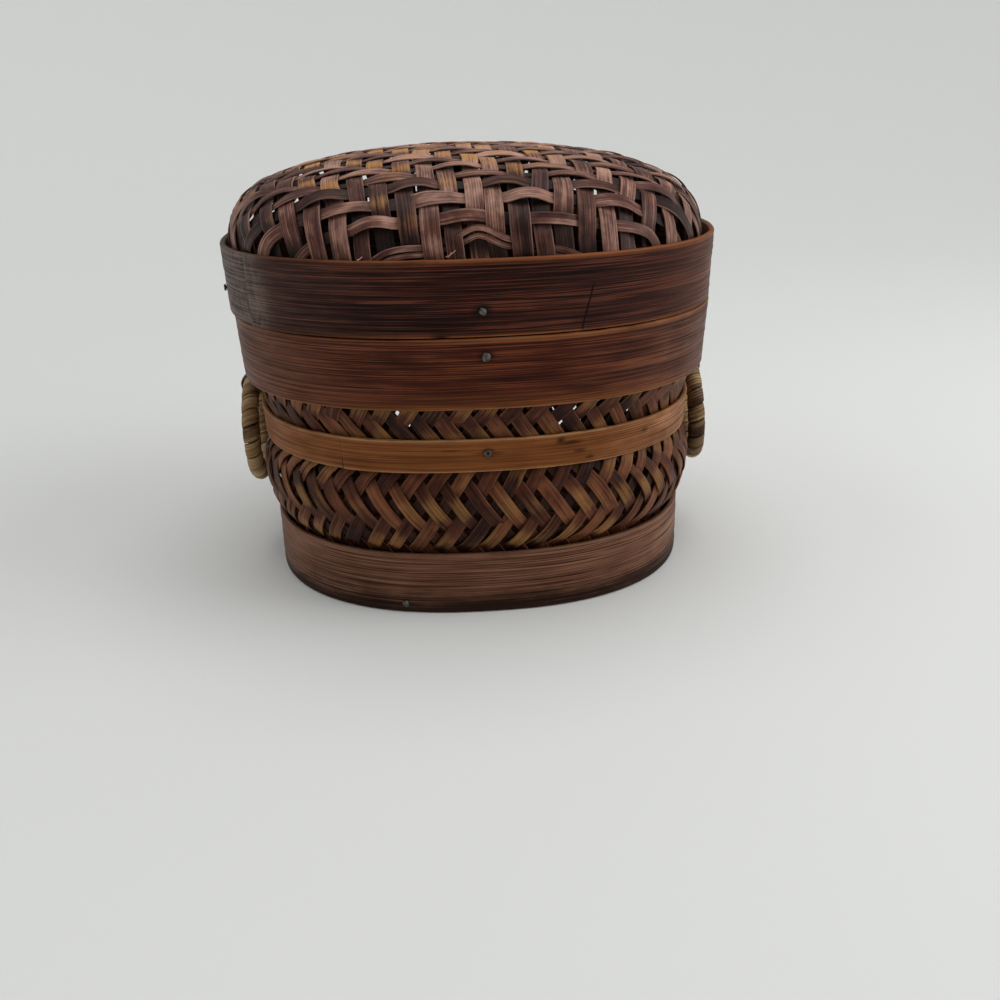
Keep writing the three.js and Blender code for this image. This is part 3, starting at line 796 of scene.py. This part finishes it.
def make_hoop(name, h, node, body, material, lap, seed, step=0.4, wave=0.08, inner=False, soil_and_sheen=None, dx=0.0, crest=None, worn_down=1.7, lapped=None):
    """A bent strip with worn edges and a ribbed face. Its outer end, thinned down, lies over its inner end and
    stops at the share `lap`, with the outer end to the right of that line seen from outside."""
    rg = np.random.default_rng(seed)
    n = 421
    w = np.linspace(0, 1 + OVER, n)
    share = lap + 1 + OVER - w
    t, height = h["t"], h["z1"] - h["z0"]
    below, above = np.clip(w / OVER, 0, 1), np.clip((w - 1) / OVER, 0, 1)
    face = np.where(w < OVER, -t + t * below, step * above ** 0.8)  # outer face
    back = np.where(w > 1, -t + t * above * 0.93, -t)  # inner face
    face = np.maximum(face, back + 0.1)
    face, back = face - 0.03 * (w < OVER), back + 0.03 * (w > 1)
    edge_r = min(0.4, t * 0.28)
    shares = np.r_[0, edge_r * 0.3 / height, edge_r / height, np.linspace(1.6 * edge_r / height, 1 - 1.6 * edge_r / height, 5 if inner else 21),
                   1 - edge_r / height, 1 - edge_r * 0.3 / height, 1]
    drop = np.r_[edge_r, edge_r * 0.45, 0.04, np.zeros(5 if inner else 21), 0.04, edge_r * 0.45, edge_r]
    ribs = [smooth_noise(rg, 200, 5, 0.045 if not inner else 0.02) for _ in range(3)]
    turns = [2 * math.pi * (w * rg.uniform(0.8, 2.2) + rg.uniform()) for _ in range(3)]
    wob = sum(rg.normal(0, wave) * np.cos(2 * math.pi * share * m + rg.uniform(0, 6.28)) for m in (3, 4, 5, 7))
    lift = sum(rg.normal(0, wave * 1.1) * np.cos(2 * math.pi * share * m + rg.uniform(0, 6.28)) for m in (2, 3, 5, 9)) * (0 if inner else 0.6)
    chips = smooth_noise(rg, n, 3, 0.05) * (0 if inner else 1)
    p, nrm = plan_at(share), plan_normal(share)
    side = np.abs(p[:, 0]) ** 2.2
    front = ((share + 0.5) % 1.0) - 0.5  # share from -0.5 to 0.5, 0 in front
    # grey share: painted sheen on the sides where the hoop turns away, plus what the given function adds or takes off
    soil_sheen_share = side * 0.55 if soil_and_sheen is None else np.clip(side * 0.5 + soil_and_sheen(front), 0, 1)
    rough = np.zeros(n) if lapped is None else lapped(front)
    ring = [(a, b, True) for a, b in zip(shares, drop)] + [(1.0, edge_r * 0.8, False), (0.97, 0.05, False), (0.5, 0.0, False), (0.03, 0.05, False), (0.0, edge_r * 0.8, False)]
    K = len(ring)
    V, SV, RV, EDGE, SOIL_SHEEN, LAPPED = [], [], [], [], [], []
    for a, b, outer in ring:
        r = h["r0"] + (h["r1"] - h["r0"]) * a
        z = h["z0"] + height * a + lift * a + chips * (a > 0.99)
        thick = np.minimum(1, (face - back) / t)
        if outer:
            rib = sum(g[int(a * 190)] * np.cos(q) for g, q in zip(ribs, turns)) if 0.03 < a < 0.97 else 0.0
            off = face - b * thick + wob * 0.35 + rib
        else:
            off = back + b * thick + wob * 0.35
        V.append(np.concatenate([p * r + nrm * off[:, None], np.broadcast_to(z, (n,))[:, None]], -1))
        SV.append(np.stack([w * ROUND_LEN * (h["r0"] + h["r1"]) / 2, np.full(n, h["z0"] + height * a + (0 if outer else 400.0)), np.full(n, seed * 5.0)], -1))
        RV.append(np.stack([(h["r0"] + h["r1"]) / 2 * np.cos(2 * math.pi * share), (h["r0"] + h["r1"]) / 2 * np.sin(2 * math.pi * share), SV[-1][:, 1]], -1))
        near = min(a, 1 - a) * height
        edge = np.full(n, np.clip(1.3 - near / (0.55 if outer else 0.4), 0, 1)) * (1 - 0.8 * soil_sheen_share)
        if crest is not None:  # the upper edge worn further down the face
            edge = np.maximum(edge * (0.45 + 0.55 * crest(front)), np.clip(1.15 - (1 - a) * height / worn_down, 0, 1) * crest(front))
        EDGE.append(edge)
        SOIL_SHEEN.append(soil_sheen_share)
        LAPPED.append(rough)
    flat = lambda a: np.stack(a, 1).reshape(n * K, -1)
    V = flat(V) + (dx, 0, 0)
    idx = np.arange(n * K).reshape(n, K)
    a, b = idx[:-1], idx[1:]
    quads = np.stack([a, b, np.roll(b, -1, 1), np.roll(a, -1, 1)], -1).reshape(-1, 4)
    turned = outward(V, quads)
    same = turned is quads
    caps = [idx[0].tolist(), idx[-1][::-1].tolist()]
    caps = caps if same else [c[::-1] for c in caps]
    me = bpy.data.meshes.new(name)
    me.from_pydata((V * MM).tolist(), [], turned.tolist() + caps)
    smooth = np.ones(len(quads) + 2, bool)
    smooth[-2:] = False
    me.polygons.foreach_set("use_smooth", smooth)
    add_attr(me, "sv", "FLOAT_VECTOR", flat(SV))
    add_attr(me, "rv", "FLOAT_VECTOR", flat(RV))
    add_attr(me, "edge", "FLOAT", flat(EDGE))
    add_attr(me, "soil_and_sheen", "FLOAT", flat(SOIL_SHEEN))
    add_attr(me, "lapped", "FLOAT", flat(LAPPED))
    # the strip unrolled in seven lengths, one above another
    lay = me.uv_layers.new(name="OFBake")
    rows, per = 7, (n - 1) // 7
    girth = np.concatenate([[0], np.cumsum([math.hypot((ring[(k + 1) % K][0] - ring[k][0]) * height, 0.3 + (t if ring[k][2] != ring[(k + 1) % K][2] else 0)) for k in range(K)])])
    wide = ROUND_LEN * h["r1"] * (1 + OVER) / rows
    size = max(wide + 6.0, (girth[-1] + 1.0) * rows)
    i = np.arange(n - 1)
    u0, u1 = (i % per) / per * wide, (i % per + 1) / per * wide
    v0 = (i // per) * (girth[-1] + 1.0)
    uv = np.zeros((n - 1, K, 4, 2))
    uv[..., 0, 0] = uv[..., 3, 0] = u0[:, None]
    uv[..., 1, 0] = uv[..., 2, 0] = u1[:, None]
    uv[..., 0, 1] = uv[..., 1, 1] = v0[:, None] + girth[None, :K]
    uv[..., 2, 1] = uv[..., 3, 1] = v0[:, None] + girth[None, 1:K + 1]
    uv = uv.reshape(-1, 4, 2)
    uv = uv if same else uv[:, ::-1]
    end = np.array([(wide + 1.0 + (0.0 if o else 1.0), a * height * 0.8) for a, _, o in ring])
    ends = [end, end[::-1] + (2.4, 0)]
    ends = ends if same else [e[::-1] for e in ends]
    corner = np.concatenate([uv.reshape(-1, 2)] + ends)
    lay.data.foreach_set("uv", ((corner + 0.3) / (size + 0.6)).astype(np.float32).ravel())
    return place(me, name, material, body, (node,))


def on_hoop(h, z, angle):
    r = h["r0"] + (h["r1"] - h["r0"]) * (z - h["z0"]) / (h["z1"] - h["z0"])
    p = plan_unit(np.array([angle]))[0] * r
    return (float(p[0]), float(p[1]), z)


QUARTERS = (-math.pi / 2, math.pi / 2, math.pi, 0.0)
lid_nails = [on_hoop(LID, 95.0, a) for a in (-math.pi / 2, math.pi / 2, math.pi + 0.215, 0.0)]
rim_nails = [on_hoop(RIM, 82.2, a) for a in QUARTERS]
waist_nails = [on_hoop(WAIST, 52.6, a) for a in QUARTERS[:2]]
foot_nails = [on_hoop(FOOT, 3.1, a) for a in (-math.pi / 2 - 0.325, math.pi / 2 - 0.325, math.pi, 0.0)]

LID_LAP, RIM_LAP, WAIST_LAP, FOOT_LAP = -0.152, 0.58, -0.0985, 0.43
on_lid = lambda share: float(way_along(LID, LID_LAP, share))
on_rim = lambda share: float(way_along(RIM, RIM_LAP, share))
on_waist = lambda share: float(way_along(WAIST, WAIST_LAP, share))
on_foot = lambda share: float(way_along(FOOT, FOOT_LAP, share))

# lid hoop: its glow over the right side is painted light
LID_BAMBOO = hoop_material(
    "lid_bamboo", srgb(26, 9, 6), srgb(50, 19, 13), srgb(98, 51, 33), srgb(146, 86, 48), srgb(98, 82, 74),
    [(on_lid(0.0), 95.2, 3.6, 2.8, 0.9), (on_lid(0.5), 95.0, 4.0, 3.0, 0.85), (on_lid(0.25), 95.0, 4.0, 3.0, 0.85), (on_lid(-0.21), 95.0, 4.0, 3.0, 0.85),
     (on_lid(-0.024), 88.0, 3.2, 1.2, 0.9), (on_lid(-0.136), 99.0, 4.4, 14.0, 0.7), (on_lid(-0.06), 105.5, 14.0, 2.4, 0.55), (on_lid(-0.03), 91.5, 16.0, 2.6, 0.5)],
    [((on_lid(0.057), 88.0), (on_lid(0.0642), 101.5), 0.42)], 0.46, 1.0, 1.0,
    [(on_lid(0.19), 98.0, 46.0, 20.0, 0.5, srgb(122, 74, 54))])
# rim hoop: its two glows, along the lower edge in front and at the left front, are painted light
RIM_BAMBOO = hoop_material(
    "rim_bamboo", srgb(44, 15, 7), srgb(73, 30, 15), srgb(120, 64, 35), srgb(158, 104, 64), srgb(112, 82, 66),
    [(on_rim(s), 82.2, 3.0, 2.4, 0.85) for s in (0.0, 0.5, 0.25, 0.75)] + [(on_rim(-0.045), 80.5, 12.0, 2.2, 0.5), (on_rim(0.06), 71.0, 10.0, 1.6, 0.45)], (), 0.44, 0.8, 0.85,
    [(on_rim(0.03), 66.6, 85.0, 5.5, 0.55, srgb(132, 76, 38)), (on_rim(-0.15), 77.0, 30.0, 18.0, 0.4, srgb(124, 76, 56))])
WAIST_BAMBOO = hoop_material(
    "waist_bamboo", srgb(92, 49, 19), srgb(122, 70, 32), srgb(148, 92, 48), srgb(184, 138, 94), srgb(160, 110, 74),
    [(on_waist(0.0), 52.6, 2.8, 2.1, 0.85), (on_waist(0.0), 52.4, 6.0, 0.9, 0.7), (on_waist(0.5), 52.6, 4.0, 2.0, 0.8),
     (on_waist(0.048), 54.9, 2.2, 1.6, 0.95), (on_waist(0.055), 53.9, 4.6, 0.8, 0.8), (on_waist(0.062), 50.9, 2.4, 0.7, 0.7),
     (on_waist(0.0695), 48.4, 1.8, 0.7, 0.75), (on_waist(0.115), 53.0, 2.0, 0.7, 0.6), (on_waist(-0.024), 53.4, 4.0, 0.5, 0.6)],
    [((on_waist(-0.0985), 46.4), (on_waist(-0.0985), 51.0), 0.3)], 0.44, 0.35, 0.4, (), True)
# foot hoop: the last mark darkens it all round towards the floor, a painted shadow
FOOT_BAMBOO = hoop_material(
    "foot_bamboo", srgb(60, 32, 22), srgb(102, 66, 48), srgb(140, 100, 76), srgb(132, 96, 74), srgb(138, 102, 84),
    [(on_foot(s), 3.1, 3.0, 2.2, 0.8) for s in (-0.0622, 0.4378, 0.25, 0.75)] + [(220.0, 0.0, 9000.0, 8.0, 0.88)], (), 0.48, 0.6, 0.7)
INNER_BAMBOO = hoop_material("inner_bamboo", srgb(38, 22, 14), srgb(62, 39, 26), srgb(88, 61, 41), srgb(84, 58, 40), srgb(70, 52, 40), (), (), 0.5, 0.7, 0.8)

grey_lap = lambda s: 0.85 * ease(s, -0.122, -0.15) * ease(s, -0.27, -0.19)
lid_crest = lambda s: 0.85 * ease(s, -0.11, -0.02) * ease(s, 0.32, 0.2)
rim_crest = lambda s: 0.8 * ease(s, -0.06, 0.02) * ease(s, 0.32, 0.22)
# lid hoop: its lapped end greyed with dust, with less painted sheen on its right side
make_hoop("lid_hoop_strip", LID, "lid_hoop", "lid", LID_BAMBOO, LID_LAP, 3, soil_and_sheen=lambda s: grey_lap(s) - 0.3 * ease(s, 0.05, 0.15), dx=LID_SHIFT, crest=lid_crest, worn_down=1.0, lapped=grey_lap)
make_hoop("rim_hoop_strip", RIM, "rim_hoop", "basket", RIM_BAMBOO, RIM_LAP, 5, crest=rim_crest, worn_down=1.1)
# waist hoop: painted sheen greying its right side
make_hoop("waist_hoop_strip", WAIST, "waist_hoop", "basket", WAIST_BAMBOO, WAIST_LAP, 7, step=0.18, soil_and_sheen=lambda s: 0.8 * ease(s, 0.05, 0.17) * ease(s, 0.4, 0.3))
make_hoop("foot_hoop_strip", FOOT, "foot_hoop", "basket", FOOT_BAMBOO, FOOT_LAP, 9, wave=0.05)
make_hoop("foot_inner_strip", FOOT_INNER, "foot_inner_hoop", "basket", INNER_BAMBOO, 0.31, 11, step=0.15, wave=0.03, inner=True)
make_hoop("waist_inner_strip", WAIST_INNER, "waist_inner_hoop", "basket", INNER_BAMBOO, 0.52, 13, step=0.15, wave=0.03, inner=True)
make_hoop("rim_collar_strip", COLLAR, "rim_collar", "basket", INNER_BAMBOO, 0.44, 15, step=0.2, wave=0.03, inner=True)
make_hoop("lid_inner_strip", LID_INNER, "lid_inner_hoop", "lid", INNER_BAMBOO, 0.38, 17, step=0.1, wave=0.03, inner=True, dx=LID_SHIFT)

# ----------------------------------------------------------------------- nails
STEEL = steel_material()


def make_nail(node, body, at, seed, dx, size, dished):
    """Round head, dished and dented, on a shank that goes into the hoop."""
    rg = np.random.default_rng(seed)
    dish = 0.5 if dished else rg.uniform(0.05, 0.25)
    profile = [(0.0, -4.9), (0.28, -4.4), (0.52, -3.9), (0.52, 0.0), (1.02, 0.0), (1.2, 0.1), (1.27, 0.28), (1.2, 0.5), (0.98, 0.68),
               (0.72, 0.72), (0.5, 0.72 - dish * 0.6), (0.25, 0.72 - dish), (0.0, 0.72 - dish)]
    n = 28
    out = np.array([np.sign(at[0]) * abs(at[0]) ** (ROUND - 1), np.sign(at[1]) * abs(at[1] / DEPTH) ** (ROUND - 1) / DEPTH, 0.0])
    out /= np.linalg.norm(out)
    across = np.cross((0, 0, 1), out)
    turn = np.linspace(0, 2 * math.pi, n, endpoint=False)
    dent = 1 + 0.04 * np.cos(2 * turn + rg.uniform(0, 6)) + 0.025 * np.cos(5 * turn + rg.uniform(0, 6))
    V, F, PIT = [], [], []
    for r, h in profile:
        grimy = 0.9 if h < 0.2 or (dished and r < 0.6) else 0.25 * (r > 1.1)
        PIT += [grimy] * (1 if r == 0 else n)
        r *= size if r > 0.6 or h > 0 else 1.0
        if r == 0:
            V.append(np.array(at) + out * (h + 0.15))
            continue
        for a in range(n):
            V.append(np.array(at) + out * (h + 0.15) + r * dent[a] * (across * math.cos(turn[a]) + np.array((0, 0, 1)) * math.sin(turn[a])))
    start = lambda k: 1 + (k - 1) * n
    last = len(V) - 1
    for a in range(n):
        b = (a + 1) % n
        F.append([0, start(1) + b, start(1) + a])
        for k in range(1, len(profile) - 2):
            F.append([start(k) + a, start(k) + b, start(k + 1) + b, start(k + 1) + a])
        F.append([start(len(profile) - 2) + a, start(len(profile) - 2) + b, last])
    me = bpy.data.meshes.new(node + "_head")
    me.from_pydata([tuple((v + (dx, 0, 0)) * MM) for v in V], [], F)
    me.polygons.foreach_set("use_smooth", np.ones(len(F), bool))
    add_attr(me, "pit", "FLOAT", PIT)
    return place(me, node + "_head", STEEL, body, (node,))


WHERE = ("front", "back", "left", "right")
for group, spots, body, size in (("lid", lid_nails, "lid", 0.84), ("rim", rim_nails, "basket", 1.0), ("waist", waist_nails, "basket", 0.86), ("foot", foot_nails, "basket", 0.88)):
    for name, at in zip(WHERE, spots):
        make_nail(f"{group}_nail_{name}", body, at, sum(map(ord, group + name)), LID_SHIFT if body == "lid" else 0.0, size, group == "waist")

# ----------------------------------------------------------------------- rings
# its edge colour is near black: painted shade in the seams between the turns
CANE = splint_material("wrapped_cane", srgb(48, 28, 14), srgb(132, 102, 66), srgb(178, 150, 110), srgb(196, 168, 126), srgb(24, 13, 6), 0.55)
STRAP = splint_material("cane_strap", srgb(30, 20, 14), srgb(64, 46, 32), srgb(92, 70, 48), srgb(120, 96, 64), srgb(90, 70, 48), 0.5)
for name, (side, ring_x, turn, lean) in RINGS.items():
    rg = np.random.default_rng(31 if side > 0 else 32)
    ca, sa = math.cos(-side * turn), math.sin(-side * turn)
    cl, sl = math.cos(-side * lean), math.sin(-side * lean)
    yaw = lambda p: np.stack([ca * p[..., 0] - sa * p[..., 1], sa * p[..., 0] + ca * p[..., 1], p[..., 2]], -1)
    tip = lambda p: np.stack([cl * p[..., 0] + sl * p[..., 2], p[..., 1], -sl * p[..., 0] + cl * p[..., 2]], -1)
    pivot = np.array([side * ring_x, 0.0, RING_Z])

    per = 26
    n = RING_TURNS * per
    s = np.linspace(0, 1, n)
    around = s * RING_TURNS * 2 * math.pi
    pitch = 2 * math.pi / (RING_TURNS + 1)
    along = math.pi / 2 + (s * RING_TURNS + 0.5) * pitch
    rr = 2.42 + smooth_noise(rg, n, 30, 0.06)
    d = RING_R + rr * np.cos(around)
    local = np.stack([-rr * np.sin(around), d * np.cos(along), -RING_R + d * np.sin(along)], -1)
    hub = np.stack([np.zeros(n), RING_R * np.cos(along), -RING_R + RING_R * np.sin(along)], -1)
    N = local - hub
    N /= np.linalg.norm(N, axis=1)[:, None]
    wrap = Strips()
    turns = rg.normal(0, 0.2, RING_TURNS + 2)
    tone = 0.42 + np.interp(s * RING_TURNS, np.arange(RING_TURNS + 2), turns) + smooth_noise(rg, n, 9, 0.05)
    wrap.add(pivot + yaw(tip(local)), yaw(tip(N)), 2.2 * (d / RING_R), 0.5, 0.26, tone, 0.6, 500 + side,
             np.clip(smooth_noise(rg, n, 30, 0.35), 0, 0.7), smooth_noise(rg, n, 11, 0.05))
    wrap.make(f"ring_wrap_{name}_cane", CANE, f"ring_{name}", (f"ring_wrap_{name}",), "cane_wrap")

    # strap: in through the plaiting, round the ring, and back in
    eye = np.linspace(math.pi + 0.17, 3 * math.pi - 0.17, 60)
    tail = np.linspace(9.2, 3.9, 9)
    x = np.r_[-tail, 3.5 * np.cos(eye), -tail[::-1]] * side
    z = np.r_[np.full(9, -0.44), 3.5 * np.sin(eye), np.full(9, 0.44)]
    nx = np.r_[np.zeros(9), np.cos(eye) * side, np.zeros(9)]
    nz = np.r_[-np.ones(9), np.sin(eye), np.ones(9)]
    strap = Strips()
    strap.add(pivot + yaw(np.stack([x, np.zeros_like(x), z], -1)), yaw(np.stack([nx, np.zeros_like(nx), nz], -1)),
              1.9 + smooth_noise(rg, len(x), 12, 0.06), 0.62, 0.05, 0.4 + smooth_noise(rg, len(x), 12, 0.06), 0.5, 520 + side)
    strap.make(f"ring_loop_{name}_strap", STRAP, "basket", (f"ring_loop_{name}",), "cane_core")


def core_material():
    """Bare bent cane, pores and fibre seen only between the turns."""
    k = Nodes("bare_cane")
    where = k.new("ShaderNodeTexCoord").outputs["Object"]
    n = k.noise(where, 4.0, 0.6, 0.0, 600.0)
    k.link(k.ramp(n, [(0.3, srgb(34, 24, 14)), (0.7, srgb(74, 58, 38))]), k.bsdf.inputs["Base Color"])
    k.link(k.span(n, 0.3, 0.7, 0.75, 0.55), k.bsdf.inputs["Roughness"])
    k.bump(n, 0.3, 0.0003)
    return k.m


BARE = core_material()
for name in ("ring_core_left", "ring_core_right"):
    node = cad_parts[name]
    node.data.materials.clear()
    node.data.materials.append(BARE)

# ----------------------------------------------------------------------- stage
floor = bpy.data.meshes.new("floor")
# a flat round floor that rises gently all round
prof = [(0.4, 0.0), (0.8, 0.0)] + [(0.8 + 4.0 * math.sin(a), 4.0 - 4.0 * math.cos(a)) for a in np.linspace(0, math.radians(48), 41)[1:]]
turn = np.linspace(0, 2 * math.pi, 128, endpoint=False)
fv = [(r * math.cos(t), r * math.sin(t), z - 0.0002) for r, z in prof for t in turn]
ff = [tuple(range(128))] + [(128 * i + k, 128 * i + 128 + k, 128 * i + 128 + (k + 1) % 128, 128 * i + (k + 1) % 128) for i in range(len(prof) - 1) for k in range(128)]
floor.from_pydata(fv, [], ff)
floor.polygons.foreach_set("use_smooth", np.ones(len(ff), bool))
sweep = bpy.data.objects.new("floor", floor)
bpy.context.scene.collection.objects.link(sweep)
fm = bpy.data.materials.new("pale_floor")
fm.use_nodes = True
fm.node_tree.nodes["Principled BSDF"].inputs["Base Color"].default_value = (0.80, 0.81, 0.795, 1)
fm.node_tree.nodes["Principled BSDF"].inputs["Roughness"].default_value = 0.9
floor.materials.append(fm)


def aimed(name, kind, at, aim):
    data = bpy.data.lights.new(name, kind)
    ob = bpy.data.objects.new(name, data)
    bpy.context.scene.collection.objects.link(ob)
    back = (Matrix.Translation(at).to_translation() - Matrix.Translation(aim).to_translation()).normalized()
    ob.matrix_world = Matrix.Translation(at) @ back.to_track_quat("Z", "Y").to_matrix().to_4x4()
    return data


def wide_light(name, at, strength):
    """An even, very soft light from one direction."""
    data = aimed(name, "SUN", at, (0, 0, 0.07))
    data.energy, data.angle = strength, math.radians(55)


wide_light("top_light", (0.05, 0.10, 1.1), 1.1)
wide_light("left_light", (-1.1, 0.0, 0.7), 0.42)
wide_light("right_light", (1.15, -0.35, 0.68), 0.65)
softbox = aimed("right_softbox", "AREA", (0.58, -0.16, 0.36), (0.10, 0.0, 0.03))
softbox.shape = "SQUARE"
softbox.size = 0.4
softbox.energy = 1.15
world = bpy.data.worlds.new("soft_room")
bpy.context.scene.world = world
world.use_nodes = True
world.node_tree.nodes["Background"].inputs[0].default_value = (0.93, 0.94, 0.93, 1)
world.node_tree.nodes["Background"].inputs[1].default_value = 0.26
bpy.context.scene.view_settings.view_transform = "Standard"
